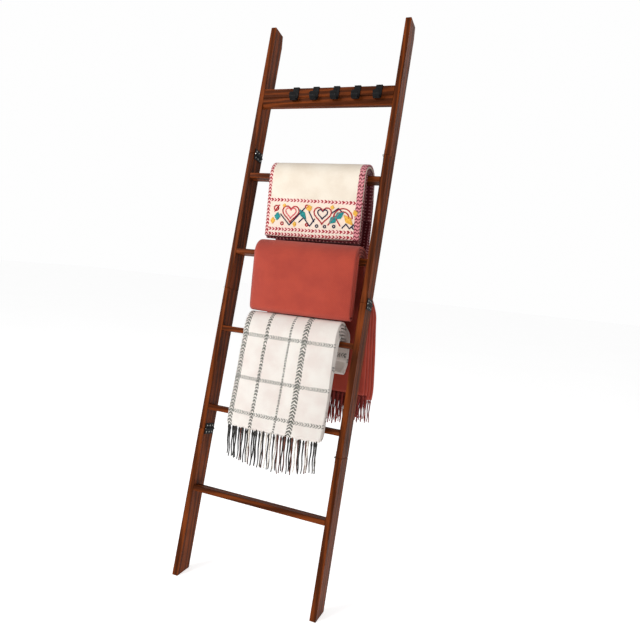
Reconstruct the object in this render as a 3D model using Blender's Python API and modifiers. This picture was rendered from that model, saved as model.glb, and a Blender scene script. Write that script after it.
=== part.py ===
"""Leaning blanket ladder with a hook board, folding rails and three throws.

The ladder stands on the floor at z = 0 and leans back against a wall on +Y.
Lengths along a rail, heights on it and depths through it are given in the
ladder's own frame: x across, y from the front of the rails to the back, z up
the rail from the front edge of the foot.
"""
from math import acos, cos, pi, radians, sin, tan

import bmesh
import bpy
from mathutils import Matrix, Vector

# Ladder
RAIL_LENGTH = 1.83
RAIL_WIDTH = 0.019
RAIL_DEPTH = 0.062
INNER_WIDTH = 0.452
LEAN = radians(10.35)
WALL_REST = 0.040            # length of rail behind the vertical cut at its top
RAIL_JOINTS = ((1, 0.1955), (3, 0.1403), (5, 0.0851))   # above these rungs' undersides, by this much
EDGE_CHAMFER = 0.0012

# Rungs and hook board
RUNG_COUNT = 5
FIRST_RUNG = 0.2655          # up the rail to the underside of the lowest rung
RUNG_PITCH = 0.2581
RUNG_HEIGHT = 0.016
RUNG_DEPTH = 0.041
BOARD_RISE = 0.2471          # from the top rung's underside to the board's
BOARD_HEIGHT = 0.0605
BOARD_THICKNESS = 0.020
GROOVE_DEPTH = 0.0025
GROOVE_HEIGHT = 0.004
LOWER_BAND = 0.028           # height of the board below its groove
LOWER_BAND_SLOPE = 0.006     # how far the lower band's foot falls back

# Dowels that hold the rungs and the board between the rails
DOWEL_RADIUS = 0.005
DOWEL_IN_RAIL = 0.012
DOWEL_IN_RUNG = 0.025
DOWEL_EDGE = 0.013           # from the board's long edges to its dowels' centres
DOWEL_SIDES = 8

# Butt hinges across the rail joints
HINGE_WIDTH = 0.050
LEAF_HEIGHT = 0.017
LEAF_THICKNESS = 0.0018
KNUCKLE_RADIUS = 0.0028
KNUCKLE_COUNT = 5
KNUCKLE_SIDES = 12
PIN_RADIUS = 0.0014
SCREWS_PER_LEAF = 3
SCREW_PITCH = 0.016
SCREW_HEIGHT = 0.0102        # from the pin to the row of screws
SCREW_RADIUS = 0.0014
SCREW_LENGTH = 0.010         # of screw in the rail
SCREW_SIDES = 8

# Strap hooks
HOOK_COUNT = 5
HOOK_PITCH = 0.0713
HOOK_END = 0.0489            # from the last hook's middle to the right rail
HOOK_WIDTH = 0.021
HOOK_THICKNESS = 0.0024
HOOK_BACK = 0.018
HOOK_FRONT = 0.034
HOOK_RADIUS = 0.011
HOOK_TIP = 0.009

# Throws: the gaps to the left and the right rail, the thickness of the stack
# before, over and behind its rung, and how far it hangs below the rung's top
EMBROIDERED = dict(rung=5, left_gap=0.092, right_gap=0.036, front=0.030, over=0.036, back=0.026,
                   back_drop=0.250)
RUST = dict(rung=4, left_gap=0.092, right_gap=0.021, front=0.041, over=0.036, back=0.030,
            back_drop=0.430)
PLAID = dict(rung=3, left_gap=0.092, right_gap=0.041, front=0.028, over=0.060, back=0.028,
             front_drop=0.291, back_drop=0.102)
STACK_SPACE = 0.010          # between a throw's front foot and the stack on the next rung
RUST_FLARE = 0.039           # how far the rust throw's long back spreads at its foot
RUST_FRINGE = 0.105
PLAID_FRINGE = 0.112
FRINGE_THICKNESS = 0.008
DOME_STEPS = 12
SHOULDER_DROP = 0.012        # the stack starts to round this far below the rung's top
FOOT_ROUND = 0.008
THROW_CLEARANCE = 0.0004

GAP = 0.0003
BORE_CLEARANCE = 0.0003

SIDES = (("left", -1), ("right", 1))
SECTION_JOINTS = [FIRST_RUNG + RUNG_PITCH * (rung - 1) + rise for rung, rise in RAIL_JOINTS]
SECTION_COUNT = len(SECTION_JOINTS) + 1
BOARD_FOOT = FIRST_RUNG + RUNG_PITCH * (RUNG_COUNT - 1) + BOARD_RISE
BOARD_TOP = BOARD_FOOT + BOARD_HEIGHT
FOOTPRINT = (RAIL_LENGTH - WALL_REST) * sin(LEAN) + RAIL_DEPTH * cos(LEAN)
FRAME_ORIGIN = Vector((0, -FOOTPRINT / 2, 0))
UP_RAIL = Vector((0, sin(LEAN), cos(LEAN)))
THROUGH_RAIL = Vector((0, cos(LEAN), -sin(LEAN)))
RUNG_RISE = RUNG_PITCH * cos(LEAN)

EMBROIDERED["front_drop"] = RUNG_RISE - RUST["over"] - STACK_SPACE
RUST["front_drop"] = RUNG_RISE - PLAID["over"] - STACK_SPACE


def clearScene():
    for thing in list(bpy.data.objects):
        bpy.data.objects.remove(thing, do_unlink=True)


def collection(name):
    group = bpy.data.collections.new(name)
    bpy.context.scene.collection.children.link(group)
    return group


def material(name, color, roughness, metallic=0.0):
    made = bpy.data.materials.new(name)
    made.use_nodes = True
    shader = made.node_tree.nodes["Principled BSDF"]
    shader.inputs["Base Color"].default_value = (*color, 1)
    shader.inputs["Roughness"].default_value = roughness
    shader.inputs["Metallic"].default_value = metallic
    made.diffuse_color = (*color, 1)
    return made


def place(name, data, look, location=(0, 0, 0), turn=0.0, onLadder=True):
    thing = bpy.data.objects.new(name, data)
    parts.objects.link(thing)
    thing.location = location
    thing.rotation_euler = (0, 0, turn)
    if onLadder:
        thing.parent = ladder
    if not data.materials:
        data.materials.append(look)
    return thing


def meshFrom(name, bm):
    bmesh.ops.recalc_face_normals(bm, faces=bm.faces)
    mesh = bpy.data.meshes.new(name)
    bm.to_mesh(mesh)
    bm.free()
    return mesh


def evaluatedMesh(thing):
    bpy.context.view_layer.update()
    seen = thing.evaluated_get(bpy.context.evaluated_depsgraph_get())
    mesh = bpy.data.meshes.new_from_object(seen)
    mesh.transform(thing.matrix_world)
    return mesh


def boxMesh(name, low, high):
    bm = bmesh.new()
    size = Vector(high) - Vector(low)
    middle = (Vector(high) + Vector(low)) / 2
    bmesh.ops.create_cube(bm, size=1, matrix=Matrix.Translation(middle) @ Matrix.Diagonal((*size, 1)))
    return meshFrom(name, bm)


def rodMesh(name, rods, axis="X"):
    """Separate round bars along one axis, each given as (middle, radius, length, sides)."""
    bm = bmesh.new()
    turn = Matrix.Rotation(pi / 2, 4, "Y" if axis == "X" else "X")
    for spot, radius, length, sides in rods:
        bmesh.ops.create_cone(bm, cap_ends=True, segments=sides, radius1=radius, radius2=radius,
                              depth=length, matrix=Matrix.Translation(spot) @ turn)
    return meshFrom(name, bm)


def cutter(name, mesh, onLadder=True):
    tool = bpy.data.objects.new(name, mesh)
    cutters.objects.link(tool)
    tool.hide_render = True
    tool.display_type = "WIRE"
    if onLadder:
        tool.parent = ladder
    return tool


def cut(thing, tool, operation="DIFFERENCE"):
    step = thing.modifiers.new(tool.name, "BOOLEAN")
    step.operation = operation
    step.solver = "EXACT"
    step.object = tool


def chamfer(thing, width=EDGE_CHAMFER):
    step = thing.modifiers.new("chamfer", "BEVEL")
    step.width = width
    step.segments = 1
    step.limit_method = "ANGLE"
    step.angle_limit = radians(35)


def outlineMesh(name, outlines, thickness, location, turn):
    """A flat plate from closed outlines; the first is its edge, others are holes."""
    curve = bpy.data.curves.new(name, "CURVE")
    curve.dimensions = "2D"
    curve.fill_mode = "BOTH"
    curve.extrude = thickness / 2
    for outline in outlines:
        spline = curve.splines.new("POLY")
        spline.points.add(len(outline) - 1)
        for point, (u, v) in zip(spline.points, outline):
            point.co = (u, v, 0, 1)
        spline.use_cyclic_u = True
    guide = bpy.data.objects.new(name + "_guide", curve)
    cutters.objects.link(guide)
    guide.matrix_world = Matrix.Translation(location) @ turn
    mesh = evaluatedMesh(guide)
    bpy.data.objects.remove(guide, do_unlink=True)
    bm = bmesh.new()
    bm.from_mesh(mesh)
    bmesh.ops.remove_doubles(bm, verts=bm.verts, dist=0.00001)
    return meshFrom(name, bm)


# Turns a flat outline (u, v) so that u runs along +Y, v along +Z and its
# thickness along X, or so that u runs along +X, v along +Z and it is thick in Y.
SIDEWAYS = Matrix(((0, 0, 1, 0), (1, 0, 0, 0), (0, 1, 0, 0), (0, 0, 0, 1)))
FACING = Matrix(((1, 0, 0, 0), (0, 0, -1, 0), (0, 1, 0, 0), (0, 0, 0, 1)))


def arc(centre, radius, start, end, steps):
    spread = [start + (end - start) * i / steps for i in range(steps + 1)]
    return [(centre[0] + radius * cos(a), centre[1] + radius * sin(a)) for a in spread]


def rungFoot(number):
    return FIRST_RUNG + RUNG_PITCH * (number - 1)


def crossMembers():
    """Each rung and the board, with the names and places (y, z) of the dowels in its ends."""
    members = []
    for number in range(1, RUNG_COUNT + 1):
        dowels = [("dowel", RUNG_DEPTH / 2, rungFoot(number) + RUNG_HEIGHT / 2)]
        members.append((f"rung_{number}", dowels))
    inBoard = BOARD_THICKNESS / 2
    dowels = [("lower_dowel", inBoard, BOARD_FOOT + DOWEL_EDGE),
              ("upper_dowel", inBoard, BOARD_TOP - DOWEL_EDGE)]
    members.append(("hook_board", dowels))
    return members


def hingeFace(joint):
    """The middle joint hinges on the rails' outer faces and the others on the inner ones."""
    return 1 if joint % 2 == 1 else -1


def screwRow():
    """Where a leaf's screws lie along its pin, from the hinge's middle."""
    return [SCREW_PITCH * (i - (SCREWS_PER_LEAF - 1) / 2) for i in range(SCREWS_PER_LEAF)]


def railCuts(side, section):
    """Bores in one rail section: dowel holes inside, screw holes under the hinge leaves."""
    low = 0 if section == 0 else SECTION_JOINTS[section - 1]
    high = RAIL_LENGTH if section == SECTION_COUNT - 1 else SECTION_JOINTS[section]
    inner = side * INNER_WIDTH / 2
    outer = inner + side * RAIL_WIDTH
    bores = []
    depth = DOWEL_IN_RAIL + BORE_CLEARANCE
    for name, dowels in crossMembers():
        for _, y, z in dowels:
            if low < z < high:
                bores.append((Vector((inner, y, z)), DOWEL_RADIUS + BORE_CLEARANCE, 2 * depth, DOWEL_SIDES))
    for joint, above in ((section - 1, True), (section, False)):
        if 0 <= joint < len(SECTION_JOINTS):
            face = outer if hingeFace(joint) == 1 else inner
            height = SECTION_JOINTS[joint] + (SCREW_HEIGHT if above else -SCREW_HEIGHT)
            for y in screwRow():
                spot = Vector((face, RAIL_DEPTH / 2 + y, height))
                bores.append((spot, SCREW_RADIUS + BORE_CLEARANCE, 2 * SCREW_LENGTH, SCREW_SIDES))
    return bores


def cutAway(bm, point, normal):
    """Removes what lies beyond a plane and closes the cut."""
    everything = bm.verts[:] + bm.edges[:] + bm.faces[:]
    bmesh.ops.bisect_plane(bm, geom=everything, plane_co=point, plane_no=normal, clear_outer=True)
    bmesh.ops.holes_fill(bm, edges=[e for e in bm.edges if e.is_boundary])


def makeRails():
    for sideName, side in SIDES:
        xs = sorted((side * INNER_WIDTH / 2, side * (INNER_WIDTH / 2 + RAIL_WIDTH)))
        for section in range(SECTION_COUNT):
            low = 0 if section == 0 else SECTION_JOINTS[section - 1] + GAP / 2
            high = RAIL_LENGTH if section == SECTION_COUNT - 1 else SECTION_JOINTS[section] - GAP / 2
            name = f"{sideName}_rail_{section + 1}"
            mesh = boxMesh(name, (xs[0], 0, low), (xs[1], RAIL_DEPTH, high))
            bm = bmesh.new()
            bm.from_mesh(mesh)
            if section == 0:
                cutAway(bm, (0, 0, 0), (0, sin(LEAN), -cos(LEAN)))
            if section == SECTION_COUNT - 1:
                cutAway(bm, (0, RAIL_DEPTH, RAIL_LENGTH - WALL_REST), (0, cos(LEAN), sin(LEAN)))
            rail = place(name, meshFrom(name, bm), wood)
            chamfer(rail)
            cut(rail, cutter(name + "_bores", rodMesh(name + "_bores", railCuts(side, section))))


def makeCrossMembers():
    reach = INNER_WIDTH / 2 - GAP
    length = DOWEL_IN_RAIL + DOWEL_IN_RUNG - 2 * BORE_CLEARANCE
    shift = (DOWEL_IN_RAIL - DOWEL_IN_RUNG) / 2
    for number, (name, dowels) in enumerate(crossMembers(), 1):
        if name == "hook_board":
            piece = place(name, boardMesh(2 * reach), wood)
        else:
            low = rungFoot(number)
            mesh = boxMesh(name, (-reach, 0, low), (reach, RUNG_DEPTH, low + RUNG_HEIGHT))
            piece = place(name, mesh, wood)
            chamfer(piece)
        bores = []
        for sideName, side in SIDES:
            for dowel, y, z in dowels:
                bores.append((Vector((side * reach, y, z)), DOWEL_RADIUS + BORE_CLEARANCE,
                              2 * (DOWEL_IN_RUNG + BORE_CLEARANCE), DOWEL_SIDES))
                spot = (side * (INNER_WIDTH / 2 + shift), y, z)
                place(f"{name}_{sideName}_{dowel}", peg(length), beech, spot)
        cut(piece, cutter(name + "_bores", rodMesh(name + "_bores", bores)))


def peg(length):
    return rodMesh("dowel", [(Vector((0, 0, 0)), DOWEL_RADIUS, length, DOWEL_SIDES)])


def boardMesh(width):
    """The hook board: a flat upper band, a groove and a lower band that falls back."""
    groove = BOARD_FOOT + LOWER_BAND
    outline = [
        (LOWER_BAND_SLOPE, BOARD_FOOT),
        (BOARD_THICKNESS, BOARD_FOOT),
        (BOARD_THICKNESS, BOARD_TOP),
        (0, BOARD_TOP),
        (0, groove + GROOVE_HEIGHT),
        (GROOVE_DEPTH, groove + GROOVE_HEIGHT / 2),
        (0, groove),
        (0, BOARD_FOOT + LOWER_BAND / 2),
    ]
    return outlineMesh("hook_board", [outline], width, (0, 0, 0), SIDEWAYS)


# A hinge in its own frame: the pin along y through the origin, the rail's face
# on the plane x = -KNUCKLE_RADIUS - GAP, and the upper leaf on +z.
def leafMesh(name, ownSlots, up):
    slot = HINGE_WIDTH / KNUCKLE_COUNT
    back = -KNUCKLE_RADIUS
    front = back + LEAF_THICKNESS
    low = KNUCKLE_RADIUS + 2 * GAP
    plate = boxMesh(name, (back, -HINGE_WIDTH / 2, low), (front, HINGE_WIDTH / 2, LEAF_HEIGHT))
    leaf = cutter(name, plate, onLadder=False)
    tongue = low + LEAF_THICKNESS
    bend = acos(front / KNUCKLE_RADIUS)
    knuckle = [(back, tongue)] + arc((0, 0), KNUCKLE_RADIUS, pi, 2 * pi + bend, KNUCKLE_SIDES)
    knuckle.append((front, tongue))
    bore = arc((0, 0), PIN_RADIUS + BORE_CLEARANCE, 2 * pi, 0, KNUCKLE_SIDES)[:-1]
    tools = []
    for index in ownSlots:
        middle = -HINGE_WIDTH / 2 + slot * (index + 0.5)
        mesh = outlineMesh(f"{name}_knuckle_{index}", [knuckle, bore], slot - GAP, (0, middle, 0), FACING)
        tools.append(cutter(f"{name}_knuckle_{index}", mesh, onLadder=False))
        cut(leaf, tools[-1], "UNION")
    holes = rodMesh(name + "_holes", [
        (Vector((back, y, SCREW_HEIGHT)), SCREW_RADIUS + BORE_CLEARANCE, 4 * LEAF_THICKNESS, SCREW_SIDES)
        for y in screwRow()])
    tools.append(cutter(name + "_holes", holes, onLadder=False))
    cut(leaf, tools[-1])
    mesh = evaluatedMesh(leaf)
    for tool in tools + [leaf]:
        bpy.data.objects.remove(tool, do_unlink=True)
    if not up:
        mesh.transform(Matrix.Rotation(pi, 4, "X"))
    return mesh


def makeHinges():
    even = range(0, KNUCKLE_COUNT, 2)
    odd = range(1, KNUCKLE_COUNT, 2)
    upper = leafMesh("upper_leaf", even, True)
    lower = leafMesh("lower_leaf", odd, False)
    pin = rodMesh("pin", [(Vector((0, 0, 0)), PIN_RADIUS, HINGE_WIDTH, KNUCKLE_SIDES)], axis="Y")
    for sideName, side in SIDES:
        for joint, height in enumerate(SECTION_JOINTS):
            facing = hingeFace(joint) * side
            edge = INNER_WIDTH / 2 + (RAIL_WIDTH if hingeFace(joint) == 1 else 0)
            away = hingeFace(joint) * (KNUCKLE_RADIUS + GAP)
            spot = (side * (edge + away), RAIL_DEPTH / 2, height)
            turn = 0 if facing == 1 else pi
            name = f"{sideName}_hinge_{joint + 1}"
            place(name + "_upper_leaf", upper, blackSteel, spot, turn)
            place(name + "_lower_leaf", lower, blackSteel, spot, turn)
            place(name + "_pin", pin, brightSteel, spot, turn)


def hookPath():
    """The strap's middle line from its back edge over the board to its tip, as (y, z)."""
    reach = GAP + HOOK_THICKNESS / 2
    top = BOARD_TOP + reach
    bend = -reach - HOOK_RADIUS
    turn = BOARD_TOP - HOOK_FRONT
    path = [(BOARD_THICKNESS + reach, BOARD_TOP - HOOK_BACK), (BOARD_THICKNESS + reach, top),
            (-reach, top)]
    path += arc((bend, turn), HOOK_RADIUS, 0, -pi, 8)
    path.append((bend - HOOK_RADIUS - HOOK_TIP / 3, turn + HOOK_TIP * 0.6))
    path.append((bend - HOOK_RADIUS - HOOK_TIP / 2, turn + HOOK_TIP))
    return path


def makeHooks():
    path = hookPath()
    bm = bmesh.new()
    bmesh.ops.create_grid(bm, x_segments=len(path) - 1, y_segments=2, size=1)
    for vert in bm.verts:
        index = round((vert.co.x + 1) / 2 * (len(path) - 1))
        across = vert.co.y
        y, z = path[index]
        half = HOOK_WIDTH / 2 * (0.55 if index == len(path) - 1 else 1)
        vert.co = (across * half, y, z)
    strap = meshFrom("hook", bm)
    for number in range(1, HOOK_COUNT + 1):
        x = INNER_WIDTH / 2 - HOOK_END - HOOK_PITCH * (HOOK_COUNT - number)
        hook = place(f"hook_{number}", strap, blackSteel, (x, 0, 0))
        step = hook.modifiers.new("strap", "SOLIDIFY")
        step.thickness = HOOK_THICKNESS
        step.offset = 0
        step.use_even_offset = True


def toWorld(y, z):
    """A point of the ladder's side view in world y and z."""
    point = FRAME_ORIGIN + THROUGH_RAIL * y + UP_RAIL * z
    return point.y, point.z


def dome(front, back, rise, steps=DOME_STEPS):
    """Half an ellipse over two shoulders, rising above the line between them."""
    points = []
    for i in range(1, steps):
        angle = pi * i / steps
        share = (1 - cos(angle)) / 2
        y = front[0] + (back[0] - front[0]) * share
        z = front[1] + (back[1] - front[1]) * share + rise * sin(angle)
        points.append((y, z))
    return points


def throwInside(size, follow):
    """The inner corners of a throw folded over its rung: front foot, shoulders, back foot.

    The front hangs plumb, or lies along the rails where follow is set.
    """
    foot = rungFoot(size["rung"])
    top = foot + RUNG_HEIGHT + THROW_CLEARANCE
    frontY, frontZ = toWorld(-THROW_CLEARANCE, top)
    slope = tan(LEAN) * size["front_drop"]
    if not follow:
        lowerY, _ = toWorld(-THROW_CLEARANCE, foot)
        frontZ += (frontY - lowerY) * tan(LEAN)
        frontY = lowerY
        slope = 0
    backY, backZ = toWorld(RUNG_DEPTH + THROW_CLEARANCE, top)
    return [(frontY - slope, frontZ - size["front_drop"]), (frontY, frontZ), (backY, backZ),
            (backY, backZ - size["back_drop"])]


def throwOutline(size, follow=False):
    inside = throwInside(size, follow)
    frontFoot, frontTop, backTop, backFoot = inside
    slope = frontTop[0] - frontFoot[0]
    outerBack = backTop[0] + size["back"]
    outerFront = frontTop[0] - size["front"]
    frontShoulder = (outerFront, frontTop[1] - SHOULDER_DROP)
    backShoulder = (outerBack, backTop[1] - SHOULDER_DROP)
    rise = size["over"] + SHOULDER_DROP + (frontTop[1] - backTop[1]) / 2
    outline = inside + [(outerBack - FOOT_ROUND, backFoot[1]), (outerBack, backFoot[1] + FOOT_ROUND),
                        backShoulder]
    outline += reversed(dome(frontShoulder, backShoulder, rise))
    outline += [frontShoulder, (outerFront - slope, frontFoot[1] + FOOT_ROUND),
                (outerFront - slope + FOOT_ROUND, frontFoot[1])]
    return outline


def throwEdges(size):
    return size["left_gap"] - INNER_WIDTH / 2, INNER_WIDTH / 2 - size["right_gap"]


def makeThrow(name, size, look, follow=False):
    left, right = throwEdges(size)
    width = right - left
    middle = (right + left) / 2
    mesh = outlineMesh(name, [throwOutline(size, follow)], width, (middle, 0, 0), SIDEWAYS)
    return place(name, mesh, look, onLadder=False)


def throwFeet(size, follow=False):
    """World y and z of the middle of a throw's front and back feet."""
    frontFoot, _, _, backFoot = throwInside(size, follow)
    return (frontFoot[0] - size["front"] / 2, frontFoot[1]), (backFoot[0] + size["back"] / 2, backFoot[1])


def fringe(name, size, foot, drop, look, spread=0.0):
    y, z = foot
    left, right = throwEdges(size)
    half = FRINGE_THICKNESS / 2
    mesh = boxMesh(name, (left, y - half, z - GAP - drop), (right + spread, y + half, z - GAP))
    place(name, mesh, look, onLadder=False)


def makeThrows():
    makeThrow("embroidered_throw", EMBROIDERED, ivory)
    rust = makeThrow("rust_throw", RUST, rustWool)
    _, back = throwFeet(RUST)
    for vert in rust.data.vertices:
        if vert.co.z < back[1] + RUST_FLARE and vert.co.x > 0:
            vert.co.x += RUST_FLARE
    fringe("rust_throw_fringe", RUST, back, RUST_FRINGE, rustWool, RUST_FLARE)
    makeThrow("plaid_throw", PLAID, cream, follow=True)
    front, _ = throwFeet(PLAID, follow=True)
    fringe("plaid_throw_fringe", PLAID, front, PLAID_FRINGE, cream)


clearScene()
parts = collection("quilt_on_a_rack")
cutters = collection("cutters")
ladder = bpy.data.objects.new("ladder", None)
parts.objects.link(ladder)
ladder.location = FRAME_ORIGIN
ladder.rotation_euler = (-LEAN, 0, 0)

wood = material("stained wood", (0.20, 0.066, 0.022), 0.45)
beech = material("beech dowel", (0.55, 0.38, 0.21), 0.6)
blackSteel = material("black steel", (0.012, 0.012, 0.013), 0.45, 0.9)
brightSteel = material("bright steel", (0.62, 0.62, 0.60), 0.3, 1.0)
ivory = material("ivory cotton", (0.78, 0.69, 0.58), 0.9)
rustWool = material("rust wool", (0.48, 0.085, 0.045), 0.95)
cream = material("cream wool", (0.80, 0.76, 0.69), 0.95)

makeRails()
makeCrossMembers()
makeHinges()
makeHooks()
makeThrows()
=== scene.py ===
from math import cos, floor, pi, radians, sin

import bmesh
import bpy
from mathutils import Matrix, Vector, noise


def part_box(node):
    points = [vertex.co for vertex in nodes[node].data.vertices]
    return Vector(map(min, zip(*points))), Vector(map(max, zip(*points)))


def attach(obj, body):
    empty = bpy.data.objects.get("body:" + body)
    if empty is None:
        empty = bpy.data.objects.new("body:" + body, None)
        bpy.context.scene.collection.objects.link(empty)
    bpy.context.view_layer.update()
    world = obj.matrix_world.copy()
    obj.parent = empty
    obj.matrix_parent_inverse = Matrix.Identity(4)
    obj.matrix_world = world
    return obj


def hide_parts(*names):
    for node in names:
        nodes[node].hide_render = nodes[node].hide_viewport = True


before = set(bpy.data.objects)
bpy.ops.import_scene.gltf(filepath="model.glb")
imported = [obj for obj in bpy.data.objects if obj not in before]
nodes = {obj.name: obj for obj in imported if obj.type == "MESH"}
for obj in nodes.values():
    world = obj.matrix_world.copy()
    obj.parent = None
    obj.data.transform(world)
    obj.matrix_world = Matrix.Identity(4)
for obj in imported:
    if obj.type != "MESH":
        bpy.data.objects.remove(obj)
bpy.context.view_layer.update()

# How the ladder leans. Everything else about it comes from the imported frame.
ladder = dict(lean=radians(10.35))
upRail = Vector((0, sin(ladder["lean"]), cos(ladder["lean"])))
throughRail = Vector((0, cos(ladder["lean"]), -sin(ladder["lean"])))


# Small tools for node trees

# sRGB 0 to 255 as a linear colour
def tone(red, green, blue):
    parts = [c / 255 for c in (red, green, blue)]
    return tuple(c / 12.92 if c <= 0.04045 else ((c + 0.055) / 1.055) ** 2.4 for c in parts) + (1.0,)


def addNode(tree, kind, inputs=None, **settings):
    made = tree.nodes.new(kind)
    for name, value in settings.items():
        setattr(made, name, value)
    for name, value in (inputs or {}).items():
        if isinstance(value, bpy.types.NodeSocket):
            tree.links.new(value, made.inputs[name])
        else:
            made.inputs[name].default_value = value
    return made


def calc(tree, operation, a, b=0.0, c=0.0):
    return addNode(tree, "ShaderNodeMath", {0: a, 1: b, 2: c}, operation=operation).outputs[0]


def blendColour(tree, factor, a, b, blend="MIX"):
    made = addNode(tree, "ShaderNodeMix", {0: factor, 6: a, 7: b}, data_type="RGBA", blend_type=blend)
    return made.outputs[2]


def ramp(tree, value, low, high, toLow=0.0, toHigh=1.0):
    return addNode(tree, "ShaderNodeMapRange", {0: value, 1: low, 2: high, 3: toLow, 4: toHigh},
                   interpolation_type="SMOOTHSTEP").outputs[0]


def cloudy(tree, vector, scale, detail, distortion=0.0):
    return addNode(tree, "ShaderNodeTexNoise", {"Vector": vector, "Scale": scale, "Detail": detail,
                                                "Distortion": distortion}).outputs[0]


def startGroup(name, inputs, outputs):
    tree = bpy.data.node_groups.new(name, "ShaderNodeTree")
    kinds = dict(value="NodeSocketFloat", vector="NodeSocketVector", colour="NodeSocketColor")
    for label, kind, value in inputs:
        socket = tree.interface.new_socket(name=label, in_out="INPUT", socket_type=kinds[kind])
        if value is not None:
            socket.default_value = value
    for label, kind in outputs:
        tree.interface.new_socket(name=label, in_out="OUTPUT", socket_type=kinds[kind])
    return tree, tree.nodes.new("NodeGroupInput").outputs, tree.nodes.new("NodeGroupOutput").inputs


def useGroup(tree, group, inputs):
    made = tree.nodes.new("ShaderNodeGroup")
    made.node_tree = group
    for name, value in inputs.items():
        if isinstance(value, bpy.types.NodeSocket):
            tree.links.new(value, made.inputs[name])
        else:
            made.inputs[name].default_value = value
    return made.outputs


def newMaterial(name, roughness=0.6, metallic=0.0, **fixed):
    made = bpy.data.materials.new(name)
    made.use_nodes = True
    shader = made.node_tree.nodes["Principled BSDF"]
    shader.inputs["Roughness"].default_value = roughness
    shader.inputs["Metallic"].default_value = metallic
    for label, value in fixed.items():
        shader.inputs[label].default_value = value
    return made, made.node_tree, shader


def bump(tree, height, strength, distance, shader):
    made = addNode(tree, "ShaderNodeBump", {"Height": height, "Strength": strength, "Distance": distance})
    tree.links.new(made.outputs["Normal"], shader.inputs["Normal"])


# Effects that several materials share

# A soft cloudy value between two limits
def makeUnevenness():
    tree, given, out = startGroup("unevenness", [("Vector", "vector", None), ("Scale", "value", 20.0),
                                                 ("Low", "value", 0.0), ("High", "value", 1.0)],
                                  [("Value", "value")])
    cloud = cloudy(tree, given["Vector"], given["Scale"], 4.0)
    tree.links.new(ramp(tree, cloud, 0.32, 0.68, given["Low"], given["High"]), out["Value"])
    return tree


# Threads over and under each other; Twill slants them
def makeWeave():
    tree, given, out = startGroup("weave", [("Vector", "vector", None), ("Threads", "value", 500.0),
                                            ("Twill", "value", 0.0)], [("Height", "value")])
    part = addNode(tree, "ShaderNodeSeparateXYZ", {0: given["Vector"]}).outputs
    across = calc(tree, "MULTIPLY", part[0], given["Threads"])
    along = calc(tree, "MULTIPLY", part[1], given["Threads"])
    plain = calc(tree, "MULTIPLY", calc(tree, "SINE", calc(tree, "MULTIPLY", across, 2 * pi)),
                 calc(tree, "SINE", calc(tree, "MULTIPLY", along, 2 * pi)))
    slant = calc(tree, "SINE", calc(tree, "MULTIPLY", calc(tree, "ADD", across, along), pi))
    both = calc(tree, "ADD", calc(tree, "MULTIPLY", plain, calc(tree, "SUBTRACT", 1.0, given["Twill"])),
                calc(tree, "MULTIPLY", slant, given["Twill"]))
    tree.links.new(calc(tree, "MULTIPLY_ADD", both, 0.5, 0.5), out["Height"])
    return tree


# A row of slanted stitches: Across is the distance from its middle, Along runs down it
def makeStitchRow():
    tree, given, out = startGroup("stitchRow", [("Across", "value", 0.0), ("Along", "value", 0.0),
                                                ("Half", "value", 0.004), ("Pitch", "value", 0.006),
                                                ("Slant", "value", 1.0), ("Fill", "value", 0.5),
                                                ("Ragged", "value", 0.0)],
                                  [("Mask", "value"), ("Row", "value")])
    place = addNode(tree, "ShaderNodeCombineXYZ", {0: given["Across"], 1: given["Along"]}).outputs[0]
    shake = cloudy(tree, place, 95.0, 2.0)
    off = calc(tree, "MULTIPLY_ADD", calc(tree, "SUBTRACT", shake, 0.5), 0.0042, given["Across"])
    off = calc(tree, "ABSOLUTE", off)
    row = ramp(tree, off, calc(tree, "MULTIPLY", given["Half"], 1.12), calc(tree, "MULTIPLY", given["Half"], 0.88))
    leaning = calc(tree, "MULTIPLY_ADD", shake, 0.010, given["Along"])
    leaning = calc(tree, "MULTIPLY_ADD", off, given["Slant"], leaning)
    share = calc(tree, "FRACT", calc(tree, "DIVIDE", leaning, given["Pitch"]))
    dash = calc(tree, "LESS_THAN", share, given["Fill"])
    speck = cloudy(tree, place, 430.0, 2.0)
    gone = calc(tree, "MULTIPLY", ramp(tree, speck, 0.52, 0.46), given["Ragged"])
    whole = calc(tree, "MULTIPLY", dash, calc(tree, "SUBTRACT", 1.0, gone))
    tree.links.new(calc(tree, "MULTIPLY", row, whole), out["Mask"])
    tree.links.new(row, out["Row"])
    return tree


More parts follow.
